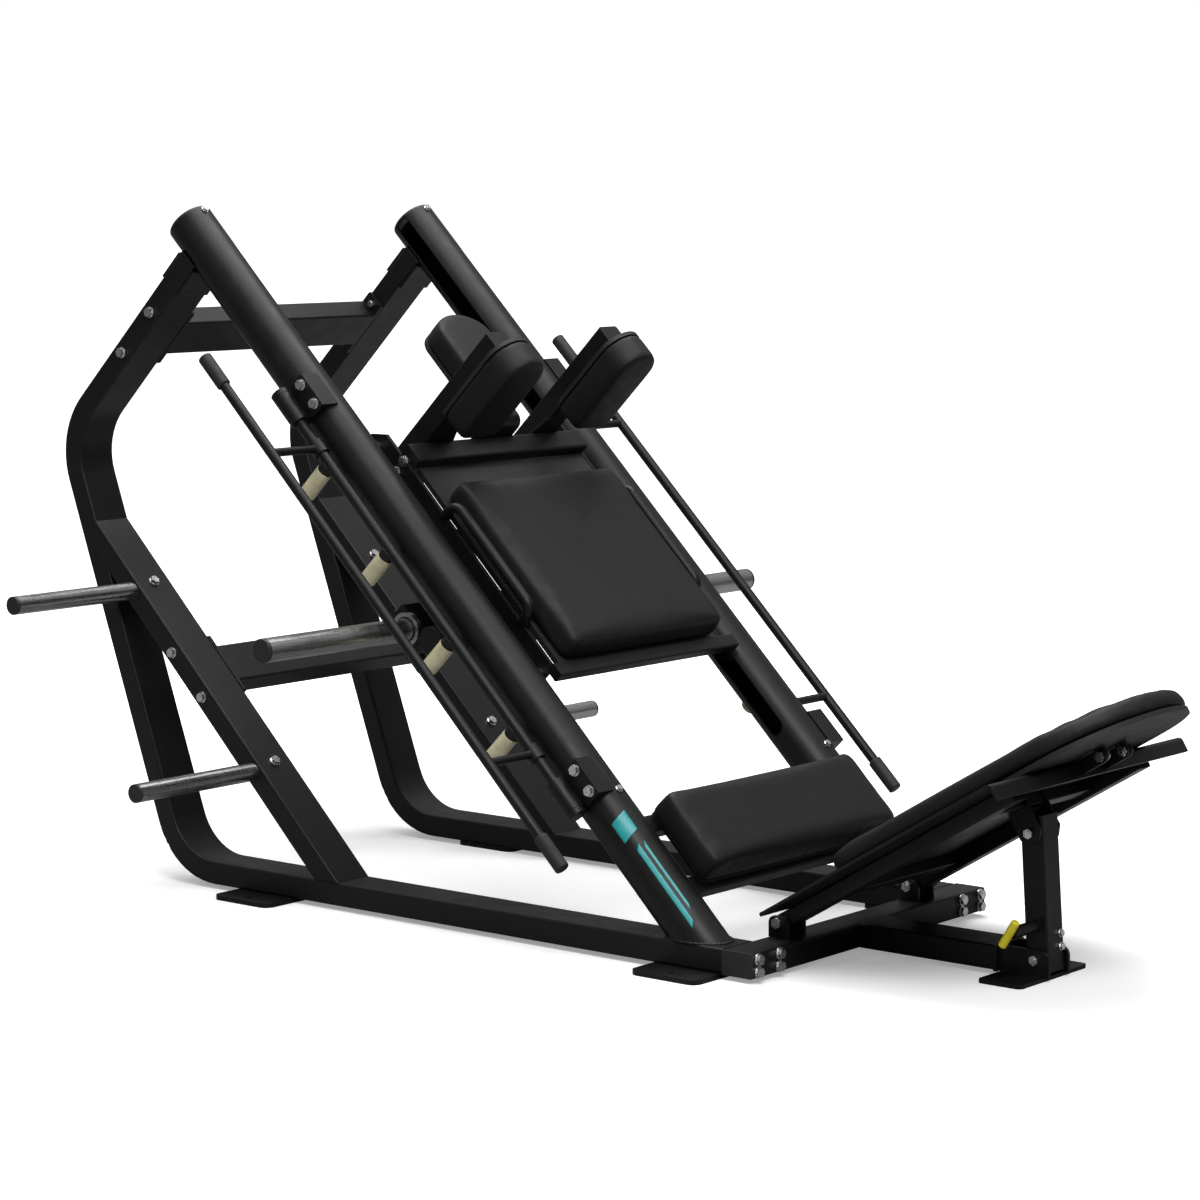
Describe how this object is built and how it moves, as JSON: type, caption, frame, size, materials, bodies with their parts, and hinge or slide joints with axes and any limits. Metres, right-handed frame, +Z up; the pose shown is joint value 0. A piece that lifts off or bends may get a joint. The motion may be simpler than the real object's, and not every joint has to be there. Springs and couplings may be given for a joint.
{
  "type": "hack squat machine",
  "caption": "Plate-loaded 45-degree hack squat and leg press with a roller carriage, lock levers, tilting foot board and folding back pad.",
  "frame": {"origin": "centre of the bounding box on the floor", "axes": "+X across the machine to the right of a user facing its rear, +Y from the foot board to the rear, +Z up"},
  "size_m": [1.624, 2.5822, 1.488],
  "materials": {
    "powder_coat": "satin",
    "vinyl": "satin",
    "board": "matte",
    "steel": "satin",
    "zinc": "satin",
    "plastic": "matte",
    "rubber": "matte",
    "nylon": "matte",
    "yellow": "gloss"
  },
  "bodies": {
    "frame": {"frame_left": "powder_coat", "frame_right": "powder_coat", "strut_left": "powder_coat", "strut_right": "powder_coat", "guide_tube_left": "powder_coat", "guide_tube_right": "powder_coat", "tube_saddles": "powder_coat", "upper_cross_tube": "powder_coat", "mid_cross_tube": "powder_coat", "front_crossmember": "powder_coat", "center_tube": "powder_coat", "plate_clevises": "powder_coat", "post_bracket": "powder_coat", "storage_pegs": "steel", "end_caps": "plastic", "tube_bumpers": "rubber", "floor_feet": "powder_coat", "seat_pad": "vinyl", "seat_board": "board", "seat_frame": "powder_coat", "hinge_blocks": "powder_coat", "frame_bolts": "zinc", "pivot_bolts": "zinc"},
    "carriage": {"carriage_side_left": "powder_coat", "carriage_side_right": "powder_coat", "carriage_cross_tubes": "powder_coat", "carriage_upper_cross": "powder_coat", "latch_bar": "powder_coat", "horn_beam": "powder_coat", "horns": "steel", "horn_caps": "plastic", "roller_axles": "zinc", "back_pad": "vinyl", "pad_boards": "board", "shoulder_arms": "powder_coat", "shoulder_pad_left": "vinyl", "shoulder_pad_right": "vinyl", "head_pad": "vinyl", "head_bracket": "powder_coat", "side_handles": "powder_coat", "carriage_bolts": "zinc"},
    "roller_lower_left": {"roller_lower_left": "plastic"},
    "roller_lower_right": {"roller_lower_right": "plastic"},
    "roller_upper_left": {"roller_upper_left": "plastic"},
    "roller_upper_right": {"roller_upper_right": "plastic"},
    "lever_left": {"lever_left": "powder_coat", "lock_sleeves_left": "nylon", "lever_grips_left": "rubber"},
    "lever_right": {"lever_right": "powder_coat", "lock_sleeves_right": "nylon", "lever_grips_right": "rubber"},
    "foot_board": {"foot_board": "powder_coat", "foot_board_frame": "powder_coat", "fold_bolts": "zinc"},
    "post_inner": {"post_inner": "powder_coat"},
    "post_sleeve": {"post_sleeve": "powder_coat", "post_head_bolt": "zinc"},
    "pull_pin": {"pull_pin": "yellow"},
    "press_pad": {"press_pad": "vinyl", "press_board": "board"}
  },
  "joints": [
    {"name": "carriage_slide", "type": "slide", "parent": "frame", "child": "carriage", "axis": [0, 0.7071, 0.7071], "range_m": [-0.2394, 0.52]},
    {"name": "roller_lower_left_spin", "type": "hinge", "parent": "carriage", "child": "roller_lower_left", "pos_m": [-0.361, 0.01559, 0.53467], "axis": [1, 0, 0], "continuous": true},
    {"name": "roller_lower_right_spin", "type": "hinge", "parent": "carriage", "child": "roller_lower_right", "pos_m": [0.361, 0.01559, 0.53467], "axis": [1, 0, 0], "continuous": true},
    {"name": "roller_upper_left_spin", "type": "hinge", "parent": "carriage", "child": "roller_upper_left", "pos_m": [-0.361, 0.46106, 0.98015], "axis": [1, 0, 0], "continuous": true},
    {"name": "roller_upper_right_spin", "type": "hinge", "parent": "carriage", "child": "roller_upper_right", "pos_m": [0.361, 0.46106, 0.98015], "axis": [1, 0, 0], "continuous": true},
    {"name": "lever_left_turn", "type": "hinge", "parent": "frame", "child": "lever_left", "pos_m": [-0.437, 0.19236, 0.69165], "axis": [0, -0.7071, -0.7071], "range_deg": [0, 34]},
    {"name": "lever_right_turn", "type": "hinge", "parent": "frame", "child": "lever_right", "pos_m": [0.437, 0.19236, 0.69165], "axis": [0, 0.7071, 0.7071], "range_deg": [0, 34]},
    {"name": "foot_board_tilt", "type": "hinge", "parent": "frame", "child": "foot_board", "pos_m": [0, -0.57413, 0.08957], "axis": [-1, 0, 0], "range_deg": [0, 15]},
    {"name": "post_swing", "type": "hinge", "parent": "frame", "child": "post_inner", "pos_m": [0, -1.02909, 0.04], "axis": [-1, 0, 0], "range_deg": [0, 9.45]},
    {"name": "post_extend", "type": "slide", "parent": "post_inner", "child": "post_sleeve", "axis": [0, 0.0702, 0.9975], "range_m": [0, 0.1166]},
    {"name": "pin_pull", "type": "slide", "parent": "post_sleeve", "child": "pull_pin", "axis": [-1, 0, 0], "range_m": [0, 0.015], "stiffness_N_per_m": 800, "springref_m": -0.004},
    {"name": "press_pad_fold", "type": "hinge", "parent": "foot_board", "child": "press_pad", "pos_m": [0, -1.1729, 0.45609], "axis": [1, 0, 0], "range_deg": [0, 150]}
  ],
  "couplings": [
    {"joint": "roller_lower_left_spin", "follows": "carriage_slide", "rad_per_m": -22.275},
    {"joint": "roller_lower_right_spin", "follows": "carriage_slide", "rad_per_m": -22.275},
    {"joint": "roller_upper_left_spin", "follows": "carriage_slide", "rad_per_m": -22.275},
    {"joint": "roller_upper_right_spin", "follows": "carriage_slide", "rad_per_m": -22.275},
    {"joint": "post_swing", "follows": "foot_board_tilt", "ratio": 0.61677},
    {"joint": "post_extend", "follows": "foot_board_tilt", "m_per_rad": 0.44161}
  ]
}
